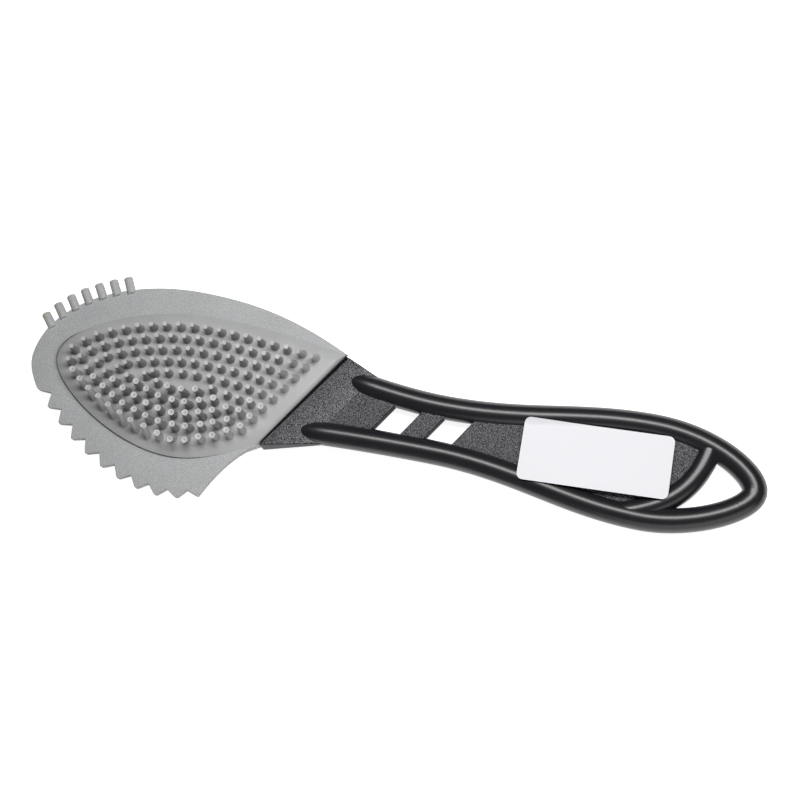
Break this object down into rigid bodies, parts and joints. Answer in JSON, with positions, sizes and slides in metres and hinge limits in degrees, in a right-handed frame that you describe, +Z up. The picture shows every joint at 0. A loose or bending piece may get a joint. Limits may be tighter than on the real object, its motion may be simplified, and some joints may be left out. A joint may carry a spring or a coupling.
{
  "type": "suede brush",
  "caption": "Suede brush with a leaf-shaped grey rubber head carrying pins, edge teeth and pegs, on a slim black frame handle with a hang hole and a blank label.",
  "frame": {"origin": "under the middle of the brush's bounding box, on the surface that its back lies on", "axes": "+X from the head to the handle's tail, +Y across the brush towards the edge with the pegs, +Z up out of the pin face"},
  "size_m": [0.2432, 0.0704, 0.0144],
  "materials": {
    "grained_black": "fine spark-grained matt black",
    "satin_black": "smooth satin black",
    "grained_grey": "fine-grained matt grey",
    "smooth_grey": "smooth satin grey",
    "white_film": "plain white sticker"
  },
  "bodies": {
    "root": {"handle_core": "grained_black", "grip_frame": "satin_black", "head_plate": "grained_grey", "pin_pad": "smooth_grey", "back_pad": "smooth_grey", "blank_label": "white_film"}
  },
  "joints": []
}
